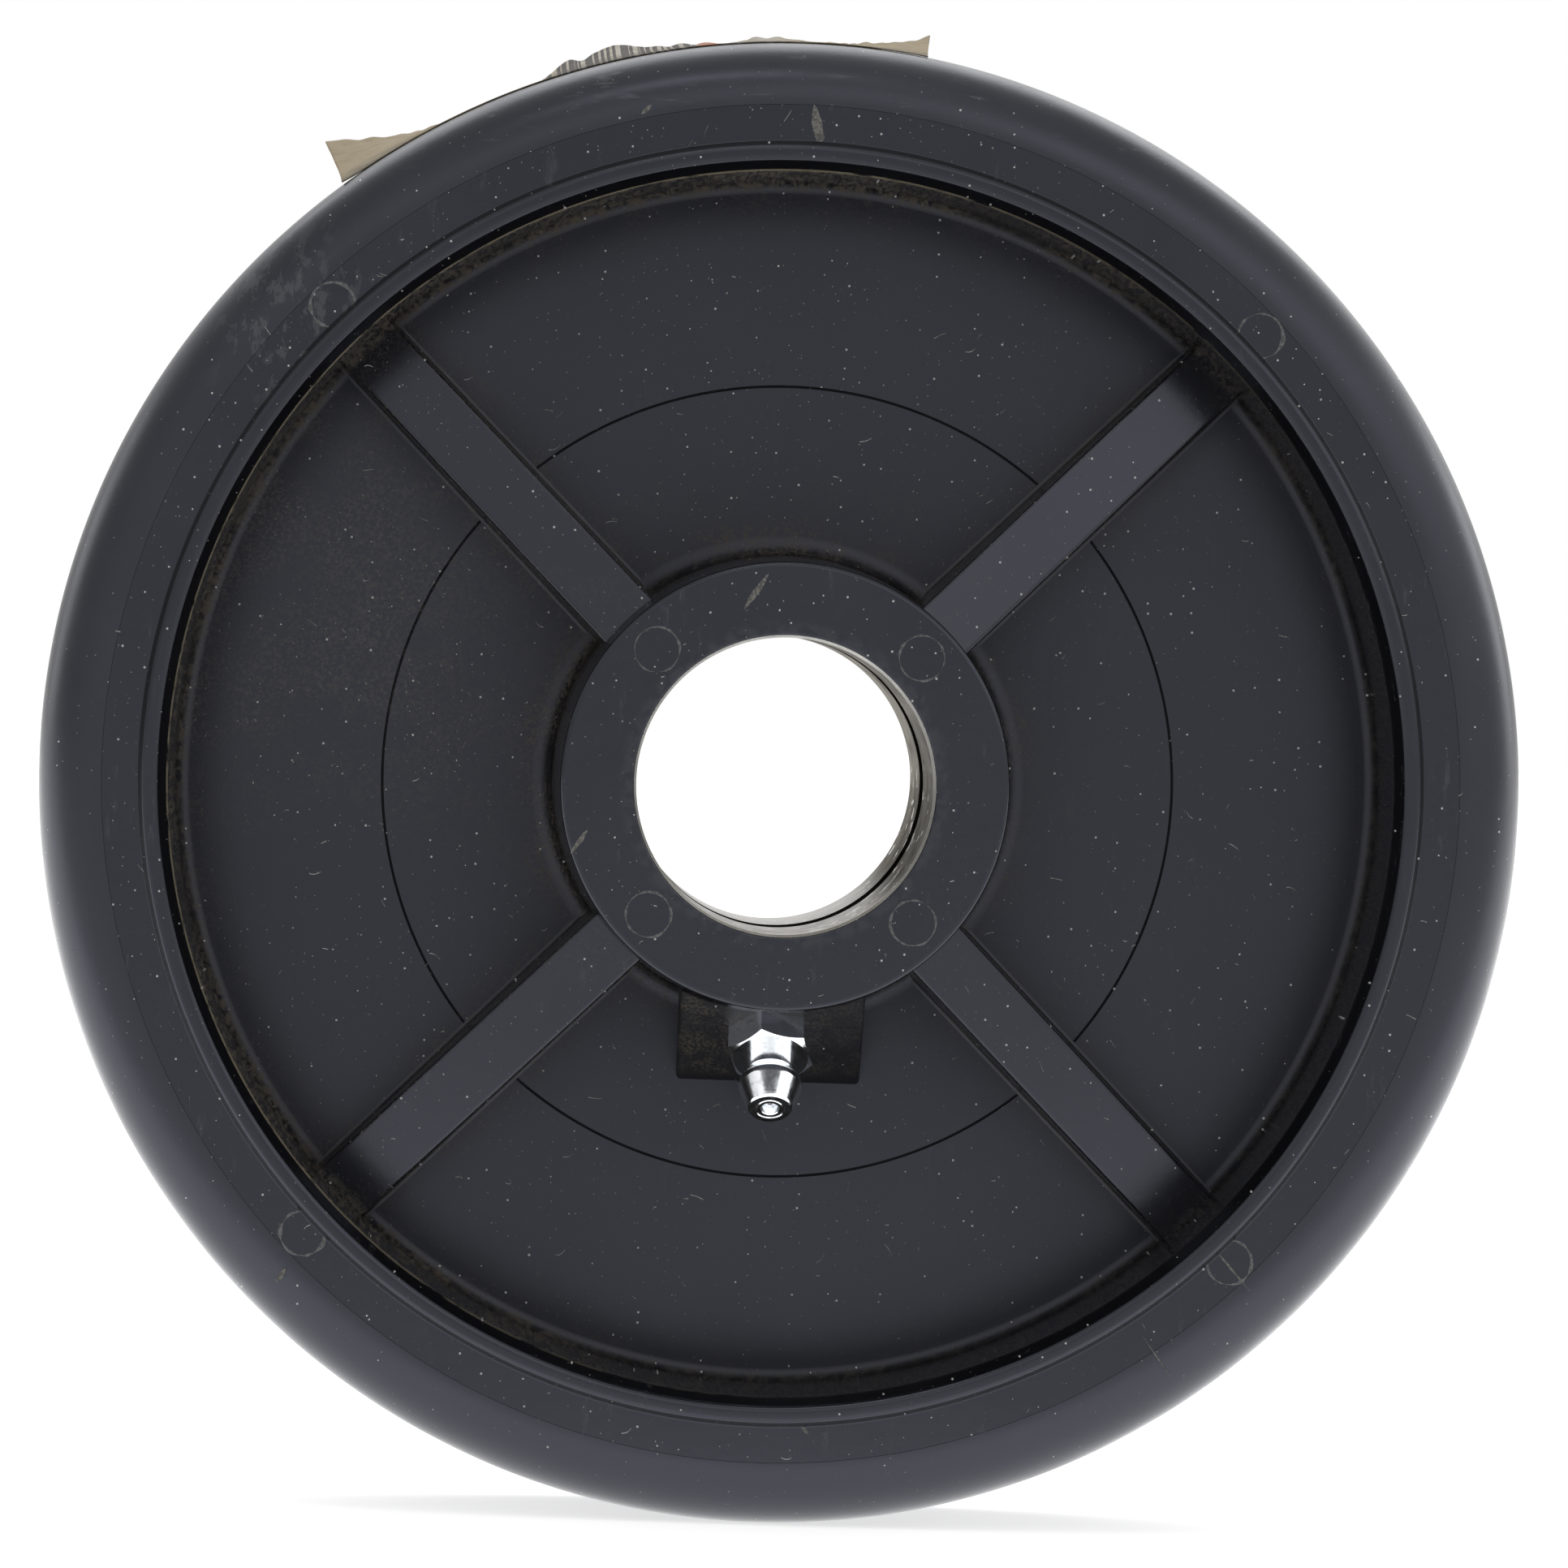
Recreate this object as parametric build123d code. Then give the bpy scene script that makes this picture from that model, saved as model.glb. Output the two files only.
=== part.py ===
from build123d import *
import math
import os

os.makedirs("parts", exist_ok=True)

# Caster wheel, in millimetres.
# The origin is the wheel's centre, the wheel turns about Y, and the side with the grease fitting faces -Y.
# "Height" is a distance from the wheel's middle plane along Y, on either side.

# Overall sizes
wheel_radius = 76.2
tread_width = 38.1
hub_length = 61.9
hub_radius = 22.8
web_thickness = 6.0
draft_angle = 1.5

# Bore: two steel races in the hub, with a gap for grease between them
bore_radius = 15.08
race_wall = 1.2
race_gap = 8.4
race_cover = 0.4
race_lead_radial = 0.25
race_lead_length = 1.0
mouth_round = 0.25
hub_edge_round = 0.5
hub_fillet = 2.0

# Tread, and the ridge on the core that locks it on
tread_thickness = 6.6
shoulder_radius = 6.5
key_height = 2.6
key_width = 18.0
key_slope = 1.0

# Rim of the core, from the tread inwards: flat land, raised lip, steep bevel and drafted wall
land_width = 3.7
lip_foot_width = 0.6
lip_width = 1.4
lip_height = 0.8
lip_inner_round = 0.8
lip_outer_round = 0.6
bevel_width = 1.0
bevel_depth = 1.15
wall_taper = 0.7
wall_fillet = 1.1

# The web sinks gently towards the wall
dish_width = 6.7
dish_depth = 0.5
dish_round = 40.0

# Ribs
rib_count = 4
rib_width = 6.6
rib_hub_rise = 14.0
rib_rim_rise = 4.5
rib_edge_round = 0.35

# How far ribs and boss run on inside the hub, rim and web that they grow from
root_overlap = 3.0
foot_overlap = 1.0

# Mould marks: ejector pin marks on the hub and rim faces, and a line round the web
hub_mark_setback = 3.8
rim_mark_setback = 9.0
mark_radius = 2.3
mark_depth = 0.12
web_line_radius = 41.0
web_line_width = 0.35
web_line_depth = 0.15

# Grease fitting: it is tilted out of the radius, and its hexagon just clears the hub
hex_hub_clearance = 0.45
seat_rise = 5.9
fitting_tilt = 40.0
boss_width = 19.0
boss_edge_round = 0.4
shank_radius = 3.15
shank_length = 7.0
shank_clearance = 0.05
passage_radius = 1.6
hex_across_flats = 7.94
hex_thickness = 3.0
hex_bevel = 0.35
hex_turn = -16.0
neck_radius = 2.45
neck_height = 1.9
head_radius = 3.3
head_start = 3.2
head_end = 3.8
nipple_height = 6.5
nose_radius = 2.3
nose_round = 0.3
fitting_bore_radius = 1.45
orifice_radius = 0.9
retainer_radius = 0.9
retainer_thickness = 0.5
orifice_length = 0.95

# Check ball and its spring
ball_radius = 1.15
ball_clearance = 0.04
wire_radius = 0.15
spring_radius = 1.0
spring_turns = 6
spring_clearance = 0.03

# Label: a thin sheet round the top of the tread, stuck down along its near edge and peeled up
# along its far edge, and most of all at its two ends
label_width = 25.4
label_thickness = 0.2
label_shift = 0.8
label_gap = 0.12
ripple_height = 1.5
# Degrees from the top of the wheel, and along the far edge the lift there as a number of ripples
label_near_angles = [-38, -22, -6, 9.5]
label_far_edge = [
    (-37, 3.7), (-34, 2.2), (-30, 0.8), (-25, 0.5), (-19, 1.0),
    (-14, 1.7), (-8, 0.9), (-2, 1.1), (4, 1.0), (10, 2.4),
]

# Values that follow from the sizes above
hub_half = hub_length / 2
rim_half = tread_width / 2
web_half = web_thickness / 2
gap_half = race_gap / 2
race_radius = bore_radius + race_wall
race_end = hub_half - race_cover
mouth_radius = bore_radius + race_lead_radial
wall_top = rim_half - bevel_depth
hub_base_radius = hub_radius + (hub_half - web_half) * math.tan(math.radians(draft_angle))
joint_radius = wheel_radius - tread_thickness
key_radius = joint_radius + key_height
key_half = key_width / 2
lip_foot_radius = joint_radius - land_width
lip_outer_radius = lip_foot_radius - lip_foot_width
lip_inner_radius = lip_outer_radius - lip_width
wall_top_radius = lip_inner_radius - bevel_width
wall_base_radius = wall_top_radius - wall_taper
tilt = math.radians(fitting_tilt)
hex_corner_radius = hex_across_flats / 2 / math.cos(math.pi / 6)
seat_radius = hub_radius + hex_hub_clearance + hex_corner_radius * math.sin(tilt)
seat_height = web_half + seat_rise


def section(half_outline):
    """A closed face in the radius-height plane: corners of one half with their fillets, mirrored."""
    corners = half_outline + [(r, -height, fillet) for r, height, fillet in reversed(half_outline)]
    path = FilletPolyline(
        *[(r, height) for r, height, fillet in corners],
        radius=[fillet for r, height, fillet in corners],
        close=True,
    )
    return make_face(path)


def ring(face):
    """A face in the radius-height plane turned once round the wheel's axis."""
    return revolve(face, axis=Axis.Y, revolution_arc=360)


# Where the tread meets the core, as seen from the rim face inwards
joint_outline = [
    (joint_radius, rim_half, 0),
    (joint_radius, key_half + key_slope, 0),
    (key_radius, key_half, 0),
]


def core_blank():
    return ring(section([
        (race_radius, race_end, 0),
        (mouth_radius, race_end, 0),
        (mouth_radius, hub_half, mouth_round),
        (hub_radius, hub_half, hub_edge_round),
        (hub_base_radius, web_half, hub_fillet),
        (wall_base_radius - dish_width, web_half, dish_round),
        (wall_base_radius, web_half - dish_depth, wall_fillet),
        (wall_top_radius, wall_top, 0),
        (lip_inner_radius, rim_half + lip_height, lip_inner_round),
        (lip_outer_radius, rim_half + lip_height, lip_outer_round),
        (lip_foot_radius, rim_half, 0),
    ] + joint_outline))


def rib():
    """One rib of the near side, along +X, sunk into the hub and the rim."""
    start = hub_radius - root_overlap
    end = wall_top_radius + root_overlap / 2
    hub_top = web_half + rib_hub_rise
    rim_top = web_half + rib_rim_rise
    base_width = rib_width + 2 * hub_top * math.tan(math.radians(draft_angle))
    plan = Plane.XZ * Pos((start + end) / 2, 0) * Rectangle(end - start, base_width)
    blank = extrude(plan, amount=hub_top, taper=draft_angle)
    side = make_face(Polyline(
        (start, 0),
        (start, -hub_top),
        (hub_radius, -hub_top),
        (wall_base_radius, -rim_top),
        (end, -rim_top),
        (end, 0),
        close=True,
    ))
    shaped = blank & extrude(side, amount=base_width, both=True)
    long_edges = shaped.edges().filter_by(
        lambda e: e.length > wall_base_radius - hub_radius and e.center().Y < -web_half
    )
    return fillet(long_edges, rib_edge_round)


def round_wheel(piece, count, start_angle):
    """Copies of a piece made along +X, evenly round the wheel."""
    return [Rot(Y=start_angle + i * 360 / count) * piece for i in range(count)]


def both_sides(pieces):
    return pieces + [mirror(piece, about=Plane.XZ) for piece in pieces]


# The fitting's axis leaves the seat away from the wheel's axis and out of the near side
fitting_axis = Vector(0, -math.sin(tilt), -math.cos(tilt))
fitting_seat = Plane(
    origin=(0, -seat_height, -seat_radius), x_dir=(1, 0, 0), z_dir=fitting_axis
)


def boss_radius_at(height):
    """Radius at which the boss's sloped face, square to the fitting, reaches a height."""
    return seat_radius + (seat_height - height) * math.tan(tilt)


def boss():
    start = hub_radius - root_overlap
    start_height = seat_height + (seat_radius - start) / math.tan(tilt)
    foot_height = web_half - foot_overlap
    outline = Plane.YZ * Polyline(
        (0, -start),
        (-start_height, -start),
        (-foot_height, -boss_radius_at(foot_height)),
        (0, -boss_radius_at(foot_height)),
        close=True,
    )
    wedge = extrude(make_face(outline), amount=boss_width / 2, both=True)
    slope = wedge.faces().sort_by(lambda f: -f.normal_at().dot(fitting_axis))[0]
    side_edges = slope.edges().filter_by(Axis.X, reverse=True)
    return fillet(side_edges, boss_edge_round)


def fitting_holes():
    """The hole for the fitting's shank and the narrower passage on to the grease gap."""
    hole = Cylinder(
        shank_radius + shank_clearance, shank_length, align=(Align.CENTER, Align.CENTER, Align.MAX)
    )
    passage_length = (seat_radius - bore_radius) / math.cos(tilt)
    passage = Cylinder(passage_radius, passage_length, align=(Align.CENTER, Align.CENTER, Align.MAX))
    return fitting_seat.location * (hole + passage)


def mark(pitch_radius, face_height):
    """A shallow round pin mark on a near-side face, along +X."""
    disc = Plane.XZ.offset(face_height - mark_depth) * Pos(pitch_radius, 0) * Circle(mark_radius)
    return extrude(disc, amount=2 * mark_depth)


def web_line():
    groove = Pos(web_line_radius, web_half) * Rectangle(web_line_width, 2 * web_line_depth)
    return ring(groove)


def wheel_core():
    rib_angle = 180 / rib_count
    body = core_blank()
    body -= both_sides([web_line()])
    body += both_sides(round_wheel(rib(), rib_count, rib_angle))
    body += boss()
    body -= fitting_holes()
    hub_mark = mark(hub_radius - hub_mark_setback, hub_half)
    rim_mark = mark(wheel_radius - rim_mark_setback, rim_half)
    marks = round_wheel(hub_mark, rib_count, rib_angle) + round_wheel(rim_mark, rib_count, rib_angle)
    body -= both_sides(marks)
    return body


def tread():
    return ring(section(list(reversed(joint_outline)) + [(wheel_radius, rim_half, shoulder_radius)]))


def bearing_race():
    """The far race. Its lead-in is at the hub's face."""
    return ring(make_face(Polyline(
        (bore_radius, gap_half),
        (race_radius, gap_half),
        (race_radius, race_end),
        (mouth_radius, race_end),
        (bore_radius, race_end - race_lead_length),
        close=True,
    )))


# The ball closes a 45 degree cone at the end of the fitting's bore
nipple_tip = hex_thickness + nipple_height
seat_cone_end = nipple_tip - orifice_length
seat_cone_start = seat_cone_end - (fitting_bore_radius - orifice_radius)
cone_apex = seat_cone_start + fitting_bore_radius
ball_height = cone_apex - (ball_radius + ball_clearance) * math.sqrt(2)


def fitting_body():
    hexagon = extrude(Rot(Z=hex_turn) * RegularPolygon(hex_corner_radius, 6), amount=hex_thickness)
    limit = make_face(Polyline(
        (0, 0),
        (hex_corner_radius, 0),
        (hex_corner_radius, hex_thickness - hex_bevel),
        (hex_corner_radius - 2 * hex_bevel, hex_thickness),
        (0, hex_thickness),
        close=True,
    ))
    hexagon &= revolve(Plane.XZ * limit, axis=Axis.Z)
    outline = make_face(Polyline(
        (0, -shank_length),
        (shank_radius, -shank_length),
        (shank_radius, 0),
        (neck_radius, 0),
        (neck_radius, hex_thickness + neck_height),
        (head_radius, hex_thickness + head_start),
        (head_radius, hex_thickness + head_end),
        (nose_radius, nipple_tip - nose_round),
        (nose_radius - nose_round, nipple_tip),
        (0, nipple_tip),
        close=True,
    ))
    channel = make_face(Polyline(
        (0, -shank_length),
        (retainer_radius, -shank_length),
        (retainer_radius, retainer_thickness - shank_length),
        (fitting_bore_radius, retainer_thickness - shank_length),
        (fitting_bore_radius, seat_cone_start),
        (orifice_radius, seat_cone_end),
        (orifice_radius, nipple_tip),
        (0, nipple_tip),
        close=True,
    ))
    nipple = revolve(Plane.XZ * outline, axis=Axis.Z)
    bore = revolve(Plane.XZ * channel, axis=Axis.Z)
    return fitting_seat.location * (hexagon + nipple - bore)


def check_ball():
    return fitting_seat.location * Pos(0, 0, ball_height) * Sphere(ball_radius)


def fitting_spring():
    reach = ball_radius + wire_radius + spring_clearance
    top = ball_height - math.sqrt(reach**2 - spring_radius**2)
    bottom = retainer_thickness - shank_length + wire_radius + spring_clearance
    coil = Helix(pitch=(top - bottom) / spring_turns, height=top - bottom, radius=spring_radius)
    wire = sweep(Plane(coil @ 0, z_dir=coil % 0) * Circle(wire_radius), path=coil, is_frenet=True)
    return fitting_seat.location * Pos(0, 0, bottom) * wire


def label_edge(points, height):
    """One long edge of the label, at its height."""
    return Spline(*[
        (
            (wheel_radius + lift) * math.sin(math.radians(angle)),
            height,
            (wheel_radius + lift) * math.cos(math.radians(angle)),
        )
        for angle, lift in points
    ])


def label():
    near_points = [(angle, label_gap) for angle in label_near_angles]
    far_points = [(angle, ripples * ripple_height) for angle, ripples in label_far_edge]
    near = label_edge(near_points, -label_width / 2 - label_shift)
    far = label_edge(far_points, label_width / 2 - label_shift)
    sheet = Face.make_surface_from_curves(near.edge(), far.edge())
    return Solid.thicken(sheet, label_thickness, normal_override=(0, 0, 1))


far_race = bearing_race()

pieces = {
    "wheel_core": wheel_core(),
    "tread": tread(),
    "near_bearing_race": mirror(far_race, about=Plane.XZ),
    "far_bearing_race": far_race,
    "grease_fitting_body": fitting_body(),
    "fitting_check_ball": check_ball(),
    "fitting_spring": fitting_spring(),
    "label": label(),
}

for name, piece in pieces.items():
    export_step(piece, f"parts/{name}.step")
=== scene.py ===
import bpy
import bmesh
import math
import random
from mathutils import Matrix, Vector, noise


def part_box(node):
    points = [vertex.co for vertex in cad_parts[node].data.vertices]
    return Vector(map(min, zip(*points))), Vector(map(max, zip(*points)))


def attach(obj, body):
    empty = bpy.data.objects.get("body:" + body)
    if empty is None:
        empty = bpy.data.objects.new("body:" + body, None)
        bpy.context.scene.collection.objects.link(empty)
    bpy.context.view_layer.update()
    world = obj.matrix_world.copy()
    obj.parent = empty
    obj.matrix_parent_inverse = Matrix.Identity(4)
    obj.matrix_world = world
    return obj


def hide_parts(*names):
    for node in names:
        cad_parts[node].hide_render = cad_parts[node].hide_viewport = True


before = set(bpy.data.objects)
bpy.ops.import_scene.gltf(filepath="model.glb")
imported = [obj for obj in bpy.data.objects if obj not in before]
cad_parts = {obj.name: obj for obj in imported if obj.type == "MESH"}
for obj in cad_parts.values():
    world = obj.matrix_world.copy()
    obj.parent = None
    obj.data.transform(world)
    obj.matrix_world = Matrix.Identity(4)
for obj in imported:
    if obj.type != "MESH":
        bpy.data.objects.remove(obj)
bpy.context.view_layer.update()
random.seed(7)

# Lengths are in millimetres and are scaled to metres where a mesh is made.
MM = 0.001

# Wheel, as in the solids: radius from the wheel's axis, height from its middle plane
WHEEL_RADIUS = 76.2
RIM_HALF = 19.05
HUB_HALF = 30.95
HUB_RADIUS = 22.8
WEB_HALF = 3.0
DRAFT = math.tan(math.radians(1.5))
HUB_BASE_RADIUS = HUB_RADIUS + (HUB_HALF - WEB_HALF) * DRAFT
BORE_RADIUS = 15.08
RACE_RADIUS = 16.28
MOUTH_RADIUS = 15.33
RACE_END = 30.55
RACE_LEAD = 1.0
GAP_HALF = 4.2
WALL_BASE_RADIUS = 62.2
WALL_TOP_RADIUS = 62.9
WALL_TOP = 17.9
LIP_INNER = 63.9
LIP_OUTER = 65.3
LIP_FOOT = 65.9
LIP_HEIGHT = 0.8
JOINT_RADIUS = 69.6
JOINT_GROOVE = 0.025
SHOULDER_RADIUS = 6.5
KEY_RADIUS = 72.2
KEY_HALF = 9.0
KEY_SLOPE = 1.0
WEB_LINE_RADIUS = 41.0
WEB_LINE_WIDTH = 0.28
WEB_LINE_DEPTH = 0.15
# The web sinks gently towards the wall, to this slope
DISH_START = 55.5
DISH_END = 61.0
DISH_SLOPE = math.radians(9)

# Ribs and ejector pin marks, at the four 45 degree places
RIB_ANGLES = [45, 135, 225, 315]
RIB_WIDTH = 6.6
RIB_HUB_TOP = WEB_HALF + 14.0
RIB_RIM_TOP = WEB_HALF + 4.5
HUB_MARK_PITCH = 19.0
RIM_MARK_PITCH = 67.2
MARK_RADIUS = 2.3

# Grease fitting
FITTING_TILT = math.radians(40)
HEX_FLATS = 7.94
HEX_THICKNESS = 3.0
HEX_TURN = math.radians(-16)
HEX_HUB_CLEARANCE = 0.45
SEAT_RADIUS = HUB_RADIUS + HEX_HUB_CLEARANCE + HEX_FLATS / math.sqrt(3) * math.sin(FITTING_TILT)
SEAT_HEIGHT = 8.9
BOSS_WIDTH = 19.0

# Camera, from the perspective of the wheel's circles in the photograph
IMAGE_SIZE = 1932
FOCAL_PIXELS = 14084
SENSOR = 36.0
CAMERA_PLACE = Vector((-33.6, -1188.9, 20.1))
CAMERA_YAW = math.radians(1.656)
CAMERA_PITCH = math.radians(-0.982)
WHEEL_ROLL = math.radians(1.9)

# Parts of white that the floor gives the camera by itself, and the surroundings light the wheel with
FLOOR_GLOW = 0.66
TENT_DIFFUSE = 0.6

LOOKING = Matrix.Rotation(-CAMERA_YAW, 4, "Z") @ Matrix.Rotation(math.pi / 2 + CAMERA_PITCH, 4, "X")
CAMERA = Matrix.Rotation(-WHEEL_ROLL, 4, "Y") @ Matrix.Translation(CAMERA_PLACE * MM) @ LOOKING

SEGMENTS = 384


class Field:
    """A number that varies over a surface, made by nodes, with arithmetic."""

    def __init__(self, tree, socket):
        self.tree = tree
        self.socket = socket

    def _math(self, operation, first, second=0.0):
        node = self.tree.nodes.new("ShaderNodeMath")
        node.operation = operation
        for slot, value in zip(node.inputs, (first, second)):
            if isinstance(value, Field):
                self.tree.links.new(value.socket, slot)
            else:
                slot.default_value = value
        return Field(self.tree, node.outputs[0])

    def __add__(self, other):
        return self._math("ADD", self, other)

    def __sub__(self, other):
        return self._math("SUBTRACT", self, other)

    def __rsub__(self, other):
        return self._math("SUBTRACT", other, self)

    def __mul__(self, other):
        return self._math("MULTIPLY", self, other)

    def __abs__(self):
        return self._math("ABSOLUTE", self)

    __radd__ = __add__
    __rmul__ = __mul__

    def power(self, other):
        return self._math("POWER", self, other)

    def least(self, other):
        return self._math("MINIMUM", self, other)

    def most(self, other):
        return self._math("MAXIMUM", self, other)

    def reflection_below(self, other):
        return self._math("LESS_THAN", self, other)

    def sine(self):
        return self._math("SINE", self)

    def ramp(self, low, high, to_low=0.0, to_high=1.0):
        """Smoothly from to_low at low to to_high at high, and level outside them."""
        node = self.tree.nodes.new("ShaderNodeMapRange")
        node.interpolation_type = "SMOOTHSTEP"
        self.tree.links.new(self.socket, node.inputs["Value"])
        node.inputs["From Min"].default_value = low
        node.inputs["From Max"].default_value = high
        node.inputs["To Min"].default_value = to_low
        node.inputs["To Max"].default_value = to_high
        return Field(self.tree, node.outputs["Result"])


class Finish:
    """A material with its coordinates in millimetres, its noises and its colour layers."""

    def __init__(self, name, colour, metallic=0.0, specular=0.5, tint=(1, 1, 1)):
        self.material = bpy.data.materials.new(name)
        self.material.use_nodes = True
        self.tree = self.material.node_tree
        self.shader = self.tree.nodes["Principled BSDF"]
        self.shader.inputs["Metallic"].default_value = metallic
        self.shader.inputs["Specular IOR Level"].default_value = specular
        self.shader.inputs["Specular Tint"].default_value = (*tint, 1)
        coordinates = self.tree.nodes.new("ShaderNodeTexCoord")
        scaled = self.tree.nodes.new("ShaderNodeVectorMath")
        scaled.operation = "SCALE"
        scaled.inputs["Scale"].default_value = 1 / MM
        self.tree.links.new(coordinates.outputs["Object"], scaled.inputs[0])
        self.place = scaled.outputs[0]
        split = self.tree.nodes.new("ShaderNodeSeparateXYZ")
        self.tree.links.new(self.place, split.inputs[0])
        self.x, self.y, self.z = [Field(self.tree, out) for out in split.outputs]
        self.radius = (self.x * self.x + self.z * self.z).power(0.5)
        self.height = abs(self.y)
        self.colour = self._value(colour)
        self.bump_height = None

    def _value(self, colour):
        node = self.tree.nodes.new("ShaderNodeRGB")
        node.outputs[0].default_value = (*colour, 1)
        return node.outputs[0]

    def noise(self, size, detail=3.0, stretch=(1, 1, 1), roughness=0.5, shift=0.0):
        """Noise from 0 to 1, mostly near 0.5, whose blotches are about size mm across."""
        mapping = self.tree.nodes.new("ShaderNodeMapping")
        mapping.inputs["Scale"].default_value = [1 / (size * s) for s in stretch]
        mapping.inputs["Location"].default_value = (shift, shift, shift)
        self.tree.links.new(self.place, mapping.inputs["Vector"])
        node = self.tree.nodes.new("ShaderNodeTexNoise")
        node.inputs["Scale"].default_value = 1
        node.inputs["Detail"].default_value = detail
        node.inputs["Roughness"].default_value = roughness
        self.tree.links.new(mapping.outputs[0], node.inputs["Vector"])
        return Field(self.tree, node.outputs[0])

    def specks(self, spacing, largest, share, shift=0.0):
        """1 on round specks up to largest mm in radius, in that share of cells of that spacing."""
        mapping = self.tree.nodes.new("ShaderNodeMapping")
        mapping.inputs["Rotation"].default_value = (math.pi / 2, 0, 0)
        mapping.inputs["Location"].default_value = (shift, shift, shift)
        self.tree.links.new(self.place, mapping.inputs["Vector"])
        node = self.tree.nodes.new("ShaderNodeTexVoronoi")
        node.voronoi_dimensions = "2D"
        node.inputs["Scale"].default_value = 1 / spacing
        self.tree.links.new(mapping.outputs[0], node.inputs["Vector"])
        split = self.tree.nodes.new("ShaderNodeSeparateColor")
        self.tree.links.new(node.outputs["Color"], split.inputs[0])
        chance = Field(self.tree, split.outputs[0])
        size = chance.ramp(1 - share, 1, 0, largest / spacing)
        return Field(self.tree, node.outputs["Distance"]).reflection_below(size)

    def layer(self, amount, colour):
        """Lays a colour over what is there, by that amount from 0 to 1."""
        node = self.tree.nodes.new("ShaderNodeMix")
        node.data_type = "RGBA"
        self.tree.links.new(amount.socket, node.inputs["Factor"])
        self.tree.links.new(self.colour, node.inputs["A"])
        node.inputs["B"].default_value = (*colour, 1)
        self.colour = node.outputs["Result"]

    def finish(self, roughness, height=None, depth=0.01):
        """Links the colour, the roughness and, in mm, the height of the surface's relief."""
        self.tree.links.new(self.colour, self.shader.inputs["Base Color"])
        if isinstance(roughness, Field):
            self.tree.links.new(roughness.socket, self.shader.inputs["Roughness"])
        else:
            self.shader.inputs["Roughness"].default_value = roughness
        if height is not None:
            bump = self.tree.nodes.new("ShaderNodeBump")
            bump.inputs["Distance"].default_value = depth * MM
            self.tree.links.new(height.socket, bump.inputs["Height"])
            self.tree.links.new(bump.outputs[0], self.shader.inputs["Normal"])
        return self.material


# Materials

BLACK = (0.0045, 0.0046, 0.0055)
BLUISH = (0.8, 0.83, 1.0)
DUST = (0.2, 0.19, 0.17)
PALE_DUST = (0.5, 0.5, 0.48)
DIRT = (0.1, 0.085, 0.06)


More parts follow.
